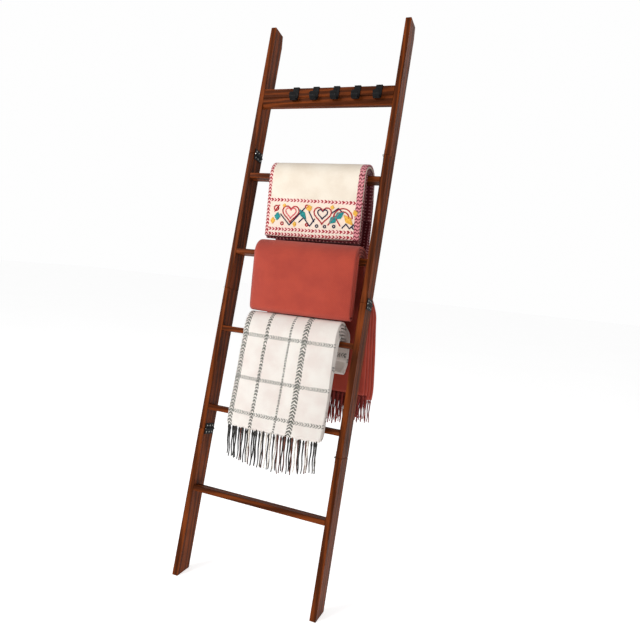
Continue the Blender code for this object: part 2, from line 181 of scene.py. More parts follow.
# Wood with its grain along z: rings, streaks and fine pores
def makeGrain():
    tree, given, out = startGroup("woodGrain", [("Vector", "vector", None), ("Light", "colour", (0.3, 0.1, 0.04, 1)),
                                                ("Dark", "colour", (0.05, 0.01, 0.005, 1)), ("Streaks", "value", 0.5)],
                                  [("Colour", "colour"), ("Height", "value"), ("Gloss", "value")])
    long, finer = (addNode(tree, "ShaderNodeMapping", {"Vector": given["Vector"], "Scale": (1.0, 1.0, squash)}
                           ).outputs[0] for squash in (0.07, 0.025))
    drift = cloudy(tree, long, 22.0, 3.0, 0.6)
    rings = addNode(tree, "ShaderNodeTexWave", {"Vector": long, "Scale": 26.0, "Distortion": 7.0,
                                                "Detail": 3.0, "Detail Scale": 1.4},
                    wave_type="BANDS", bands_direction="DIAGONAL").outputs["Fac"]
    pore = ramp(tree, cloudy(tree, finer, 620.0, 2.0), 0.56, 0.68)
    figure = calc(tree, "MULTIPLY_ADD", rings, 0.55, calc(tree, "MULTIPLY", drift, 0.75))
    dark = ramp(tree, figure, 0.30, 0.95)
    colour = blendColour(tree, calc(tree, "MULTIPLY", dark, given["Streaks"]), given["Light"], given["Dark"])
    colour = blendColour(tree, calc(tree, "MULTIPLY", pore, 0.55), colour, given["Dark"])
    tree.links.new(colour, out["Colour"])
    tree.links.new(calc(tree, "SUBTRACT", calc(tree, "MULTIPLY", rings, 0.3), pore), out["Height"])
    smooth = calc(tree, "MULTIPLY_ADD", drift, 0.18, 0.36)
    tree.links.new(calc(tree, "MULTIPLY_ADD", pore, 0.25, smooth), out["Gloss"])
    return tree


unevenness, weave, stitchRow, woodGrain = makeUnevenness(), makeWeave(), makeStitchRow(), makeGrain()
print("shared effects ready")


def uneven(tree, vector, scale, low=0.0, high=1.0):
    return useGroup(tree, unevenness, {"Vector": vector, "Scale": scale, "Low": low, "High": high})["Value"]


# Wood and metal
wood = dict(light=tone(124, 58, 20), dark=tone(44, 17, 5), streaks=0.72)
dowel = dict(light=tone(214, 176, 128), dark=tone(150, 108, 66))
steel = dict(black=tone(15, 15, 16), bright=tone(176, 174, 168))


def shaded(tree, colour, patch):
    shade = addNode(tree, "ShaderNodeCombineColor", {0: patch, 1: patch, 2: patch}).outputs[0]
    return blendColour(tree, 1.0, colour, shade, "MULTIPLY")


def makeWood(name, turn, shift, light=wood["light"], dark=wood["dark"]):
    made, tree, shader = newMaterial(name, roughness=0.45, **{"Specular IOR Level": 0.05})
    spot = addNode(tree, "ShaderNodeTexCoord").outputs["Object"]
    placed = addNode(tree, "ShaderNodeMapping", {"Vector": spot, "Rotation": turn, "Location": shift})
    spot = placed.outputs[0]
    grain = useGroup(tree, woodGrain, {"Vector": spot, "Light": light, "Dark": dark, "Streaks": wood["streaks"]})
    patch = uneven(tree, spot, 9.0, 0.78, 1.12)
    tree.links.new(shaded(tree, grain["Colour"], patch), shader.inputs["Base Color"])
    tree.links.new(grain["Gloss"], shader.inputs["Roughness"])
    bump(tree, grain["Height"], 0.25, 0.0004, shader)
    return made


def makeSteel(name, colour, roughness, metallic, scale, gloss=0.5):
    made, tree, shader = newMaterial(name, roughness, metallic, **{"Specular IOR Level": gloss})
    spot = addNode(tree, "ShaderNodeTexCoord").outputs["Object"]
    tree.links.new(shaded(tree, colour, uneven(tree, spot, scale, 0.75, 1.25)), shader.inputs["Base Color"])
    rough = uneven(tree, spot, scale * 4, roughness * 0.8, roughness * 1.3)
    tree.links.new(rough, shader.inputs["Roughness"])
    bump(tree, cloudy(tree, spot, 2500.0, 1.0), 0.15, 0.0002, shader)
    return made


blackSteel = makeSteel("black_coated_steel", steel["black"], 0.50, 0.0, 60, 0.12)
brightSteel = makeSteel("bright_steel", steel["bright"], 0.28, 1.0, 120)
dowelWood = makeWood("beech_dowel", (0, radians(90), 0), (0, 0, 0), dowel["light"], dowel["dark"])


def dress(thing, look):
    thing.data.materials.clear()
    thing.data.materials.append(look)


for count, name in enumerate(sorted(nodes)):
    shift = (0.37 * count, 0.61 * count, 0.83 * count)
    if "dowel" in name:
        dress(nodes[name], dowelWood)
    elif name.endswith("_pin"):
        dress(nodes[name], brightSteel)
    elif "leaf" in name or name.startswith("hook_") and name != "hook_board":
        dress(nodes[name], blackSteel)
    elif "_rail_" in name:  # grain up the rail
        dress(nodes[name], makeWood("wood_" + name, (ladder["lean"], 0, 0), shift))
    elif name.startswith("rung_") or name == "hook_board":  # grain across the ladder
        dress(nodes[name], makeWood("wood_" + name, (0, radians(90), 0), shift))
print("wood and steel done")


# Hinge screws, three in each leaf
screw = dict(pitch=0.016, row=0.0102, head=0.0024, rise=0.0006, leaf=0.0018)  # leaf is the leaves' thickness


def makeScrews():
    bm = bmesh.new()
    for name in sorted(nodes):
        if not name.endswith("_leaf"):
            continue
        low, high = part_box(name)
        side = 1 if name.startswith("right") else -1
        outward = 1 if "hinge_2" in name else -1
        facing = side * outward
        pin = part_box(name.rsplit("_", 2)[0] + "_pin")
        middle = (pin[0] + pin[1]) / 2
        along = 1 if "upper" in name else -1
        face = (low.x if facing > 0 else high.x) + facing * screw["leaf"]
        for i in range(3):
            spot = middle + upRail * (along * screw["row"]) + throughRail * (screw["pitch"] * (i - 1))
            spot.x = face
            turn = Matrix.Translation(spot) @ Matrix.Rotation(facing * pi / 2, 4, "Y")
            turn = turn @ Matrix.Rotation(0.7 * i + 0.4, 4, "Z")
            made = bmesh.ops.create_circle(bm, cap_ends=True, segments=20, radius=screw["head"], matrix=turn)
            disc = [f for f in made["verts"][0].link_faces][0]
            up = Vector((facing * screw["rise"], 0, 0))
            raised = bmesh.ops.extrude_face_region(bm, geom=[disc])
            top = [v for v in raised["geom"] if isinstance(v, bmesh.types.BMVert)]
            bmesh.ops.translate(bm, verts=top, vec=up)
            cap = [f for f in raised["geom"] if isinstance(f, bmesh.types.BMFace)][0]
            bmesh.ops.inset_region(bm, faces=[cap], thickness=screw["head"] * 0.3, depth=0.0002)
            bmesh.ops.inset_region(bm, faces=[cap], thickness=screw["head"] * 0.35, depth=-0.0005)
    bmesh.ops.recalc_face_normals(bm, faces=bm.faces)
    return finishPiece("hinge_screws", bm, [brightSteel], "ladder")


def finishPiece(name, bm, looks, body, smooth=True):
    mesh = bpy.data.meshes.new(name)
    bm.to_mesh(mesh)
    bm.free()
    piece = bpy.data.objects.new(name, mesh)
    bpy.context.scene.collection.objects.link(piece)
    for look in looks:
        mesh.materials.append(look)
    for face in mesh.polygons:
        face.use_smooth = smooth
    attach(piece, body)
    return piece


hingeScrews = makeScrews()
print("screws done")


# How every throw lies over its rung
folding = dict(gap=0.0006,        # from the rung to the innermost pass
               shoulder=0.012,    # the stack starts to round this far below the rung's top
               step=0.008,        # between points down the hanging parts
               bends=30,          # points over the top
               easeShare=0.16,    # share of the top that eases over each edge of the rung
               ease=0.0015,       # how far each edge is eased
               thinning=0.05,     # length over which a pass that has ended leaves the stack
               sideBend=0.0045,   # finer columns this close to a side fold
               settle=0.16,       # waves and crown grow over this length from the top
               panelSteps=30, turnSteps=12, rowStep=0.0095)


# Where a point of a flat cloth ends up: folded across, folded along, then laid over a rung
class FoldedCloth:

    def __init__(self, plan):
        self.plan = plan
        low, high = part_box(plan["node"])
        rungLow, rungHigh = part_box(plan["rung"])
        lean = ladder["lean"]
        wide, tall = rungHigh.y - rungLow.y, rungHigh.z - rungLow.z
        depth = (wide * cos(lean) - tall * sin(lean)) / (cos(lean) ** 2 - sin(lean) ** 2)
        gap, shoulder, stepLength, bends = (folding[k] for k in ("gap", "shoulder", "step", "bends"))
        frontFoot, backFoot = plan["frontFoot"], plan["backFoot"]
        self.left, self.right = low.x, plan.get("rightEdge", high.x)
        frontY = rungLow.y - gap
        topFront = rungHigh.z + gap
        topBack = rungHigh.z - depth * sin(lean) + gap
        backY = rungHigh.y + gap
        slope = plan["slope"]
        if slope:  # the front lies along the rails
            frontY = rungLow.y + (rungHigh.z - rungLow.z - depth * sin(lean)) * sin(lean) - gap
        inner, outer = [], []
        frontSteps = max(2, round((topFront - shoulder - frontFoot) / stepLength))
        for i in range(frontSteps):
            share = i / frontSteps
            z = frontFoot + (topFront - shoulder - frontFoot) * share
            y = frontY - slope * (1 - share)
            inner.append((y, z))
            outer.append((y - plan["front"], z))
        middle = (frontY - plan["front"] + backY + plan["back"]) / 2
        half = (backY + plan["back"] - frontY + plan["front"]) / 2
        shoulderFront, shoulderBack = topFront - shoulder, topBack - shoulder
        rise = plan["over"] + shoulder + (topFront - topBack) / 2
        for i in range(bends + 1):
            angle = pi * i / bends
            share = (1 - cos(angle)) / 2
            level = shoulderFront + (shoulderBack - shoulderFront) * share
            outer.append((middle - half * cos(angle), level + rise * sin(angle)))
            inner.append(self.seat(i / bends, frontY, backY, topFront, topBack))
        steps = max(2, round((shoulderBack - backFoot) / stepLength))
        for i in range(1, steps + 1):
            z = shoulderBack + (backFoot - shoulderBack) * i / steps
            inner.append((backY, z))
            outer.append((backY + plan["back"], z))
        self.inner, self.outer = inner, outer
        self.lengths = [0.0]
        for a, b in zip(outer, outer[1:]):
            self.lengths.append(self.lengths[-1] + ((a[0] - b[0]) ** 2 + (a[1] - b[1]) ** 2) ** 0.5)
        self.total = self.lengths[-1]
        self.topAt = self.lengths[frontSteps + bends // 2]
        self.thinFrom, self.thinOver = self.topAt - folding["thinning"], folding["thinning"]
        self.runs = self.planRuns()
        if plan["frontPasses"] > plan["backPasses"]:  # the stack thins only past the end of its last pass
            self.thinFrom = self.runs[-1][5]
            self.thinOver = min(folding["thinning"], self.total - self.thinFrom)

    # The rung's top with its two edges a little eased
    def seat(self, share, frontY, backY, topFront, topBack):
        edge, ease, shoulder = folding["easeShare"], folding["ease"], folding["shoulder"]
        if share < edge:
            return frontY + ease * (share / edge) ** 2, topFront - shoulder * (1 - share / edge)
        if share > 1 - edge:
            return backY - ease * ((1 - share) / edge) ** 2, topBack - shoulder * (1 - (1 - share) / edge)
        t = (share - edge) / (1 - 2 * edge)
        return frontY + ease + (backY - frontY - 2 * ease) * t, topFront + (topBack - topFront) * t

    def passesAt(self, s):
        plan = self.plan
        t = min(1.0, max(0.0, (s - self.thinFrom) / self.thinOver))
        return plan["frontPasses"] + (plan["backPasses"] - plan["frontPasses"]) * t * t * (3 - 2 * t)

    def profile(self, s):
        s = min(max(s, 0.0), self.total)
        low, high = 0, len(self.lengths) - 1
        while high - low > 1:
            mid = (low + high) // 2
            if self.lengths[mid] <= s:
                low = mid
            else:
                high = mid
        t = (s - self.lengths[low]) / max(1e-9, self.lengths[high] - self.lengths[low])
        return [Vector((0, *side[low])).lerp(Vector((0, *side[high])), t) for side in (self.inner, self.outer)]

    def spacing(self, s):
        inner, outer = self.profile(s)
        return (outer - inner).length / (self.plan["across"] * self.passesAt(s))

    # Runs between the feet and the turns that join them, along the cloth's length
    def planRuns(self):
        plan, across = self.plan, self.plan["across"]
        foot = {0: self.spacing(0) * across, 1: self.spacing(self.total) * across}
        ends = [foot[0], self.total - foot[1]]
        forward = plan["startAt"] == "front"
        at = plan["hem"] if forward else self.total
        runs, used, turns = [], 0.0, 0
        while used < plan["flat"][1] - 1e-6 and turns < plan["frontPasses"]:
            target = ends[1] if forward else ends[0]
            shrink = 1.0 - 0.09 * turns
            length = min(abs(target - at) * shrink, plan["flat"][1] - used)
            reached = at + (1 if forward else -1) * length / shrink
            runs.append(("run", used, used + length, turns, at, reached))
            used += length
            if used < plan["flat"][1] - 1e-6 and turns < plan["frontPasses"] - 1:
                arcLength = pi * foot[1 if forward else 0] / 2
                runs.append(("turn", used, used + arcLength, turns, reached, reached))
                used += arcLength
            at, forward, turns = reached, not forward, turns + 1
        self.used = used
        return runs

    def rows(self):
        levels = [0.0]
        for kind, start, end, _, _, _ in self.runs:
            count = max(2, round((end - start) / folding["rowStep"]))
            if kind == "turn":
                count = folding["turnSteps"]
            levels += [start + (end - start) * i / count for i in range(1, count + 1)]
        return levels

    def columns(self):
        across, width = self.plan["across"], self.plan["flat"][0]
        panel = width / across
        levels = []
        for k in range(across):
            start = k * panel
            levels += [start + panel * i / folding["panelSteps"] for i in range(folding["panelSteps"] + 1)]
        bend = folding["sideBend"]
        near = [k * panel + bend * t for k in range(1, across) for t in (-1, -0.66, -0.33, 0.33, 0.66, 1)]
        levels = [u for u in levels if all(abs(u - k * panel) > bend * 1.2 or abs(u - k * panel) < 1e-6
                                           for k in range(1, across))]
        return sorted(set(round(u, 6) for u in levels + near))

    def point(self, u, v, lift=0.0):
        plan, across = self.plan, self.plan["across"]
        v = min(max(v, 0.0), self.used)
        kind, start, end, turns, s0, s1 = next((r for r in self.runs if v <= r[2] + 1e-9), self.runs[-1])
        t = (v - start) / max(1e-9, end - start)
        s = s0 + (s1 - s0) * t
        angle = pi * t if kind == "turn" else 0.0
        step = self.spacing(s)
        # across the cloth: back and forth between the two side folds
        panel = plan["flat"][0] / across
        k = min(across - 1, floor(u / panel))
        nearest = round(u / panel)
        away = u - nearest * panel
        r = step / 2

        def wobble(index):  # how far one side fold stands back from the widest
            chance = noise.noise(Vector((index * 3.7 + plan["seed"], s * 5, turns * 2.3)))
            return plan["stagger"] * (0.5 + 0.5 * chance)

        if 0 < nearest < across and abs(away) < pi * r / 2:
            bendAngle = away / r
            layer = nearest + 0.5 * sin(bendAngle)
            onRight = nearest % 2 == 1
            edge = self.right - wobble(nearest) if onRight else self.left + wobble(nearest)
            x = edge + (-1 if onRight else 1) * r * (1 - cos(bendAngle))
        else:
            layer = k + 0.5
            leftFold, rightFold = (k if k % 2 == 0 else k + 1), (k + 1 if k % 2 == 0 else k)
            a = self.left + wobble(leftFold) + r
            b = self.right - wobble(rightFold) - r
            share = (u - k * panel - (pi * r / 2)) / (panel - pi * r)
            share = min(max(share, -0.02), 1.02)
            x = a + (b - a) * (share if k % 2 == 0 else 1 - share)
        # along the cloth: each pass lies inside the one before
        depth = across * turns + layer if turns % 2 == 0 else across * (turns + 1) - layer
        beyond = 0.0
        if kind == "turn":
            centre = across * (turns + 1)
            reach = centre - depth
            depth = centre - reach * cos(angle)
            beyond = abs(reach) * step * sin(angle)
        inner, outer = self.profile(s)
        count = across * self.passesAt(s)
        q = 1 - depth / count
        out = (outer - inner).normalized()
        spot = inner + (outer - inner) * q
        if beyond:
            spot.z -= beyond
        spot.x = x
        # the fan of the long back panel, and soft waves that grow away from the rung
        if plan["fan"] and s > self.topAt:
            drop = min(1.0, max(0.0, (plan["fanFrom"] - spot.z) / plan["fanOver"]))
            lower = max(0.0, plan["fanFrom"] - plan["fanOver"] - spot.z)
            aside = 0.55 + 0.45 * (x - self.left) / (self.right - self.left)  # the left edge moves less
            spread = plan["fan"] * drop ** 2 * (3 - 2 * drop) + plan["flare"] * lower
            spot.x += spread * aside * (1 - 0.45 * depth / count)
        hang = min(1.0, abs(s - self.topAt) / folding["settle"])
        seed = plan["seed"]
        ripple = noise.noise(Vector((spot.x * 9, s * 3.2, seed)))
        ripple += 0.45 * noise.noise(Vector((spot.x * 26, s * 9, seed + 5)))
        fine = 0.16 * noise.noise(Vector((spot.x * 60, s * 42, seed + 9)))
        behind = s > self.topAt
        toFoot = max(0.0, 1 - min((self.total - s) / 0.050 if behind else s / 0.020, 1.0))
        centreX = (self.left + self.right) / 2  # corners pull in at the feet
        spot.x += (centreX - spot.x) * toFoot ** 2 * plan["corner"] * (1.0 if behind else 0.5)
        middle = 2 * (x - self.left) / (self.right - self.left) - 1
        crown = plan["crown"] * hang * (0.25 + 0.75 * q) * (1 - middle ** 4)
        waves = plan["wave"] * (hang * (0.55 + ripple) + fine * min(1.0, hang + 0.3))
        spot += out * (crown + waves + lift)
        if kind == "turn" or abs(s - s0) < 0.03:  # feet aren't quite level
            spot.z -= plan["uneven"] * hang * noise.noise(Vector((spot.x * 7, depth * 0.9, seed + 2)))
        return spot


# One sheet: a flat grid in the cloth's own metres, then folded and given its thickness
def makeThrow(name, cloth, looks, body):
    us, vs = cloth.columns(), cloth.rows()
    bm = bmesh.new()
    bmesh.ops.create_grid(bm, x_segments=len(us) - 1, y_segments=len(vs) - 1, size=1)
    chart = bm.loops.layers.uv.new("cloth")
    spots = {}
    for vert in bm.verts:
        i = round((vert.co.x + 1) / 2 * (len(us) - 1))
        j = round((vert.co.y + 1) / 2 * (len(vs) - 1))
        spots[vert] = (us[i], vs[j])
    for face in bm.faces:
        for loop in face.loops:
            loop[chart].uv = spots[loop.vert]
    for vert, (u, v) in spots.items():
        vert.co = cloth.point(u, v)
    bm.normal_update()
    middle = cloth.point(0.1, 0.12)
    sample = min(bm.faces, key=lambda face: (face.calc_center_median() - middle).length)
    if sample.normal.y * (-1 if cloth.plan["startAt"] == "front" else 1) < 0:  # the right side outwards
        bmesh.ops.reverse_faces(bm, faces=bm.faces)
    piece = finishPiece(name, bm, looks, body)
    thick = piece.modifiers.new("cloth", "SOLIDIFY")
    thick.thickness = cloth.plan["cloth"]
    thick.offset = 0.0
    thick.material_offset = 1
    thick.material_offset_rim = 1
    return piece


# Cloth coordinates, their parts, a lightly mottled colour with painted shade in the weave's low parts, and the weave's
# height
def clothBasics(tree, threads, twill, tints, depth=0.16):
    chart = addNode(tree, "ShaderNodeUVMap", uv_map="cloth").outputs[0]
    part = addNode(tree, "ShaderNodeSeparateXYZ", {0: chart}).outputs
    fabric = useGroup(tree, weave, {"Vector": chart, "Threads": threads, "Twill": twill})["Height"]
    tint = blendColour(tree, uneven(tree, chart, 14.0), tints[0], tints[1])
    # painted shade: the weave's low parts are darkened towards near-black, as much as depth says
    paintedWeaveShade = calc(tree, "MULTIPLY", calc(tree, "SUBTRACT", 1.0, fabric), depth)
    tint = blendColour(tree, paintedWeaveShade, tint, (0.05, 0.03, 0.02, 1))
    return chart, part, tint, fabric


# A stitch row centred on a value of one cloth direction and running along the other
def rowMask(tree, across, along, middle, half, pitch, slant, fill=0.5, ragged=0.0):
    off = calc(tree, "SUBTRACT", across, middle)
    return useGroup(tree, stitchRow, {"Across": off, "Along": along, "Half": half, "Pitch": pitch,
                                      "Slant": slant, "Fill": fill, "Ragged": ragged})


def between(tree, value, low, high):
    above = calc(tree, "GREATER_THAN", value, low)
    return calc(tree, "MULTIPLY", above, calc(tree, "LESS_THAN", value, high))


def makeYarn(name, colour, other):
    made, tree, shader = newMaterial(name, roughness=0.85, **{"Sheen Weight": 0.05})
    spot = addNode(tree, "ShaderNodeTexCoord").outputs["Object"]
    tree.links.new(blendColour(tree, uneven(tree, spot, 160.0), colour, other), shader.inputs["Base Color"])
    bump(tree, cloudy(tree, spot, 1500.0, 2.0), 0.5, 0.0006, shader)
    return made


# One tassel: a six-sided ring drawn down from a knot, pinched and twisted
def makeTassel(whole, top, length, radius, sway, look, steps=9):
    bm = bmesh.new()
    before = 0.7  # the first ring's share of the radius
    centre = top + Vector((0, 0, 0.002))
    made = bmesh.ops.create_circle(bm, cap_ends=True, segments=6, radius=radius * before,
                                   matrix=Matrix.Translation(centre))
    first = made["verts"][0].link_faces[0]
    first.material_index = look
    edges = list(first.edges)
    widths = [1.5, 1.15] + [1.0 - 0.35 * i / steps for i in range(steps)]
    for i, wide in enumerate(widths):
        share = (i + 1) / len(widths)
        bend = sin(9 * share + 900 * sway.x) * 0.0016 * share
        target = top + Vector((sway.x * share ** 2 + bend, sway.y * share ** 2 + bend * 0.5, -length * share))
        drawn = bmesh.ops.extrude_edge_only(bm, edges=edges)
        ring = [g for g in drawn["geom"] if isinstance(g, bmesh.types.BMVert)]
        edges = [g for g in drawn["geom"] if isinstance(g, bmesh.types.BMEdge)
                 and all(v in ring for v in g.verts)]
        bmesh.ops.translate(bm, verts=ring, vec=target - centre)
        turn = Matrix.Rotation(0.75, 4, "Z")
        squeeze = Matrix.Diagonal((wide / before, wide / before, 1, 1))
        away = Matrix.Translation(-target)
        bmesh.ops.transform(bm, verts=ring, matrix=away.inverted() @ turn @ squeeze @ away)
        for g in drawn["geom"]:
            if isinstance(g, bmesh.types.BMFace):
                g.material_index = look
        centre, before = target, wide
    end = bmesh.ops.contextual_create(bm, geom=edges)
    for face in end["faces"]:
        face.material_index = look
    bmesh.ops.recalc_face_normals(bm, faces=bm.faces)
    single = bpy.data.meshes.new("tassel")
    bm.to_mesh(single)
    bm.free()
    whole.from_mesh(single)
    bpy.data.meshes.remove(single)


def makeFringe(name, cloth, body, looks, hems, pick):
    bm = bmesh.new()
    plan = cloth.plan
    spacing, drop, radius = plan["fringeSpacing"], plan["fringeDrop"], plan["fringeRadius"]
    count = int(plan["flat"][0] / spacing)
    for v in hems:
        for i in range(count):
            u = (i + 0.5) * spacing
            top = cloth.point(u, v)
            chance = noise.noise(Vector((i * 1.37, v * 11 + 0.3, plan["seed"])))
            other = noise.noise(Vector((i * 2.11, v * 7 + 4.3, plan["seed"])))
            panelShare = (top.x - cloth.left) / (cloth.right - cloth.left)
            length = drop * (0.62 + 0.30 * sin(pi * min(1, max(0, 0.1 + 0.8 * panelShare))) + 0.10 * chance)
            sway = Vector((plan["fringeSway"] * other, 0.006 * chance, 0))
            makeTassel(bm, top, length, radius, sway, pick(chance, other))
    return finishPiece(name, bm, looks, body)


# The embroidered throw
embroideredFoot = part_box("embroidered_throw")[0].z
embroideredPlan = dict(
    node="embroidered_throw", rung="rung_5", flat=(1.27, 1.52), across=4, startAt="front",
    frontPasses=3, backPasses=2, front=0.030, over=0.036, back=0.026, slope=0.0,  # stack thicknesses
    frontFoot=embroideredFoot + 0.044, backFoot=embroideredFoot, cloth=0.0017, hem=0.009,
    wave=0.0022, crown=0.006, corner=0.01, stagger=0.0035, uneven=0.004, seed=3.1,
    fan=0.004, fanFrom=1.29, fanOver=0.1, flare=0.0,
    ivory=tone(247, 236, 219), ivoryShade=tone(237, 223, 204), bandShade=tone(250, 214, 196),
    maroon=tone(104, 12, 28), maroonShade=tone(78, 10, 20), dots=tone(214, 150, 150),
    chevron=tone(160, 12, 36), blush=tone(246, 208, 200), pink=tone(222, 140, 148))


# The embroidered throw's face: plain above, stitched rows below, a stitched border on both sides
def makeIvoryFace(cloth):
    made, tree, shader = newMaterial("ivory_cotton_face", roughness=0.9,
                                     **{"Sheen Weight": 0.25, "Sheen Roughness": 0.5})
    plan = cloth.plan
    part, tint, fabric = clothBasics(tree, 420.0, 0.0, (plan["ivory"], plan["ivoryShade"]))[1:]
    u, v = part[0], part[1]
    panel = plan["flat"][0] / plan["across"]
    inFront = calc(tree, "LESS_THAN", v, 0.40)
    colour, height = tint, calc(tree, "MULTIPLY", fabric, 0.35)
    band = calc(tree, "MULTIPLY", between(tree, v, 0.028, 0.108), between(tree, u, 0.012, panel - 0.021))
    colour = blendColour(tree, calc(tree, "MULTIPLY", band, 0.35), colour, plan["bandShade"])
    for middle, half in ((0.114, 0.0052), (0.0225, 0.0052), (0.0065, 0.0052)):
        row = rowMask(tree, v, u, middle, half, 0.0115, 1.0)
        colour = blendColour(tree, row["Row"], colour, plan["blush"])
        colour = blendColour(tree, row["Mask"], colour, plan["chevron"])
        height = calc(tree, "ADD", height, row["Mask"])
    for middle, half in ((0.006, 0.0060), (panel - 0.001, 0.0058), (panel - 0.0125, 0.0058)):
        row = rowMask(tree, u, v, middle, half, 0.0110, 1.0, 0.60)
        back = calc(tree, "MULTIPLY", row["Row"], inFront)
        mark = calc(tree, "MULTIPLY", row["Mask"], inFront)
        ground, thread = ("blush", "chevron") if middle < 0.1 else ("maroon", "pink")
        colour = blendColour(tree, mark, blendColour(tree, back, colour, plan[ground]), plan[thread])
        height = calc(tree, "ADD", height, mark)
    behind = calc(tree, "SUBTRACT", 1.0, inFront)
    colour = blendColour(tree, behind, colour, dottedMaroon(tree, u, v))
    tree.links.new(colour, shader.inputs["Base Color"])
    bump(tree, height, 0.5, 0.0006, shader)
    return made


# Small pale dashes in rows on dark red
def dottedMaroon(tree, u, v):
    shares = [calc(tree, "DIVIDE", value, pitch) for value, pitch in ((u, 0.0125), (v, 0.0085))]
    off = [calc(tree, "ABSOLUTE", calc(tree, "SUBTRACT", calc(tree, "FRACT", share), 0.5)) for share in shares]
    dot = calc(tree, "MULTIPLY", calc(tree, "LESS_THAN", off[0], 0.17), calc(tree, "LESS_THAN", off[1], 0.15))
    return blendColour(tree, dot, embroideredPlan["maroon"], embroideredPlan["dots"])


def makeMaroonReverse():
    made, tree, shader = newMaterial("maroon_cotton_reverse", roughness=0.92, **{"Sheen Weight": 0.2})
    tints = embroideredPlan["maroon"], embroideredPlan["maroonShade"]
    part, _, fabric = clothBasics(tree, 420.0, 0.0, tints)[1:]
    tree.links.new(dottedMaroon(tree, part[0], part[1]), shader.inputs["Base Color"])
    bump(tree, fabric, 0.35, 0.0004, shader)
    return made


embroidered = FoldedCloth(embroideredPlan)
embroideredThrow = makeThrow("embroidered_cloth", embroidered,
                             [makeIvoryFace(embroidered), makeMaroonReverse()], "embroidered_throw")
print("embroidered throw folded")


# Raised embroidery in the band: an own arrangement of hearts, zigzags, diamonds and rings
motif = dict(thread=0.0040, lift=0.0012, stitch=0.0030, step=0.0025)


def heart(x, y, size):
    line = []
    for i in range(25):
        t = 2 * pi * i / 24
        line.append((x + size * 0.060 * 16 * sin(t) ** 3,
                     y + size * 0.060 * (13 * cos(t) - 5 * cos(2 * t) - 2 * cos(3 * t) - cos(4 * t))))
    return line


def ring(x, y, size, sides=12):
    return [(x + size * cos(2 * pi * i / sides), y + size * sin(2 * pi * i / sides))
            for i in range(sides + 1)]


def zigzag(x, y, width, tall, count):
    return [(x + width * i / count, y + (tall if i % 2 else 0)) for i in range(count + 1)]


def fan(x, y, size, turn=0.0):
    return [(x + size * cos(turn + pi * i / 10), y + size * sin(turn + pi * i / 10)) for i in range(11)]


# Satin stitch inside a diamond, as one back and forth line
def filled(x, y, width, tall, turn=0.0):
    line = []
    rows = round(2 * tall / motif["stitch"])
    for i in range(rows + 1):
        t = 2 * i / rows - 1
        half = (1 - abs(t)) * width
        side = 1 if i % 2 else -1
        line += [(-half * side, t * tall), (half * side, t * tall)]
    return [(x + a * cos(turn) - b * sin(turn), y + a * sin(turn) + b * cos(turn)) for a, b in line]


strokes = dict(
    red=[heart(0.088, 0.074, 0.030), heart(0.196, 0.074, 0.030), fan(0.262, 0.066, 0.030),
         fan(0.262, 0.066, 0.020), ring(0.036, 0.088, 0.008), ring(0.142, 0.096, 0.005),
         ring(0.060, 0.040, 0.0045), ring(0.146, 0.040, 0.004), zigzag(0.216, 0.042, 0.040, 0.030, 2),
         [(0.030, 0.076), (0.046, 0.098)]],
    blush=[heart(0.088, 0.076, 0.019)],
    navy=[[(0.052, 0.070), (0.086, 0.036), (0.136, 0.092)], [(0.150, 0.082), (0.170, 0.050)],
          heart(0.196, 0.077, 0.017), [(0.118, 0.046), (0.134, 0.062), (0.156, 0.036), (0.172, 0.060)],
          [(0.226, 0.080), (0.246, 0.096), (0.262, 0.082)], zigzag(0.262, 0.036, 0.036, 0.014, 3),
          ring(0.180, 0.038, 0.004), ring(0.206, 0.038, 0.004), ring(0.236, 0.040, 0.004),
          fan(0.300, 0.042, 0.006, 1.5)],
    teal=[filled(0.042, 0.062, 0.010, 0.012), filled(0.130, 0.072, 0.008, 0.018, 0.7),
          filled(0.232, 0.060, 0.010, 0.016, -0.8), filled(0.250, 0.074, 0.010, 0.018, -0.9)],
    yellow=[filled(0.026, 0.048, 0.008, 0.010), filled(0.150, 0.092, 0.010, 0.010, 0.4),
            filled(0.280, 0.062, 0.010, 0.020, 0.8), filled(0.226, 0.098, 0.006, 0.006),
            filled(0.104, 0.040, 0.006, 0.008), filled(0.064, 0.096, 0.005, 0.006),
            filled(0.300, 0.084, 0.007, 0.010, 0.3)])


def makeEmbroidery(name, lines, cloth, look):
    curve = bpy.data.curves.new(name, "CURVE")
    curve.dimensions = "3D"
    curve.bevel_depth = motif["thread"] / 2
    curve.bevel_resolution = 1
    curve.use_fill_caps = True
    for line in lines:
        fine = []
        for (x0, y0), (x1, y1) in zip(line, line[1:]):
            count = max(1, round(((x1 - x0) ** 2 + (y1 - y0) ** 2) ** 0.5 / motif["step"]))
            fine += [(x0 + (x1 - x0) * i / count, y0 + (y1 - y0) * i / count) for i in range(count)]
        fine.append(line[-1])
        spline = curve.splines.new("POLY")
        spline.points.add(len(fine) - 1)
        for place, (x, y) in zip(spline.points, fine):
            spot = cloth.point(x, y, motif["lift"])
            place.co = (*spot, 1)
    guide = bpy.data.objects.new(name + "_guide", curve)
    bpy.context.scene.collection.objects.link(guide)
    bpy.context.view_layer.update()
    mesh = bpy.data.meshes.new_from_object(guide.evaluated_get(bpy.context.evaluated_depsgraph_get()))
    bpy.data.objects.remove(guide)
    bm = bmesh.new()
    bm.from_mesh(mesh)
    bmesh.ops.remove_doubles(bm, verts=bm.verts, dist=0.00001)
    bmesh.ops.recalc_face_normals(bm, faces=bm.faces)
    return finishPiece(name, bm, [look], "embroidered_throw")


threads = dict(blush=(tone(232, 122, 124), tone(206, 90, 100)), red=(tone(196, 16, 34), tone(156, 10, 26)),
               navy=(tone(14, 26, 74), tone(8, 14, 46)), teal=(tone(38, 160, 156), tone(24, 122, 128)),
               yellow=(tone(244, 196, 84), tone(226, 166, 60)))
stitched = [makeEmbroidery("stitches_" + name, lines, embroidered, makeYarn(name + "_thread", *threads[name]))
            for name, lines in strokes.items()]
print("embroidery done")


